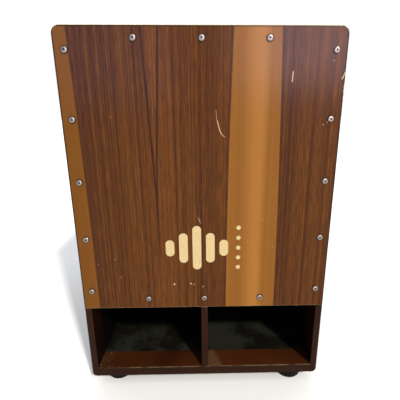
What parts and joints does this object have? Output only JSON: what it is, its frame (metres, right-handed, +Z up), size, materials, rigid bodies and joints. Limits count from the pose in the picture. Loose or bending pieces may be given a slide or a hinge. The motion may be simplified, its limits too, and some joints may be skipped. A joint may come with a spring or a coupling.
{
  "type": "cajon",
  "caption": "Upright wooden box drum with a veneered striking plate screwed over its upper front, twin bass ports under the plate, rubber feet and snare wires inside.",
  "frame": {"origin": "on the floor, under the middle of the whole drum", "axes": "+Z up, -Y towards the listener (the struck plate faces -Y), +X to the right when the plate is looked at"},
  "size_m": [0.346, 0.3998, 0.5095],
  "materials": {
    "veneer": "walnut veneer with pale sapwood bands, satin lacquer",
    "stained_board": "fibreboard stained dark red-brown, satin lacquer; bare inside",
    "batten": "bare planed spruce",
    "hardwood_rail": "bare planed beech",
    "nickel_screw": "bright nickel plate",
    "zinc": "bright zinc plate",
    "snare_steel": "drawn spring steel",
    "rubber_foot": "matt moulded"
  },
  "bodies": {
    "root": {"front_plate": "veneer", "side_panel_left": "stained_board", "side_panel_right": "stained_board", "seat_panel": "stained_board", "base_panel": "stained_board", "back_panel": "stained_board", "port_shelf": "stained_board", "port_divider": "stained_board", "plate_screw_left_1": "nickel_screw", "plate_screw_left_2": "nickel_screw", "plate_screw_left_3": "nickel_screw", "plate_screw_left_4": "nickel_screw", "plate_screw_left_5": "nickel_screw", "plate_screw_right_1": "nickel_screw", "plate_screw_right_2": "nickel_screw", "plate_screw_right_3": "nickel_screw", "plate_screw_right_4": "nickel_screw", "plate_screw_right_5": "nickel_screw", "plate_screw_top_1": "nickel_screw", "plate_screw_top_2": "nickel_screw", "plate_screw_top_3": "nickel_screw", "plate_screw_bottom_1": "nickel_screw", "plate_screw_bottom_2": "nickel_screw", "plate_screw_bottom_3": "nickel_screw", "front_batten_left": "batten", "front_batten_right": "batten", "front_batten_top": "batten", "front_batten_bottom": "batten", "rear_batten_left": "batten", "rear_batten_right": "batten", "rear_batten_top": "batten", "rear_batten_bottom": "batten", "foot_front_left": "rubber_foot", "foot_washer_front_left": "zinc", "foot_screw_front_left": "zinc", "foot_front_right": "rubber_foot", "foot_washer_front_right": "zinc", "foot_screw_front_right": "zinc", "foot_rear_left": "rubber_foot", "foot_washer_rear_left": "zinc", "foot_screw_rear_left": "zinc", "foot_rear_right": "rubber_foot", "foot_washer_rear_right": "zinc", "foot_screw_rear_right": "zinc", "snare_rail": "hardwood_rail", "snare_wires_left": "snare_steel", "snare_wires_right": "snare_steel", "snare_screw_left_1": "zinc", "snare_screw_left_2": "zinc", "snare_screw_right_1": "zinc", "snare_screw_right_2": "zinc"}
  },
  "joints": []
}
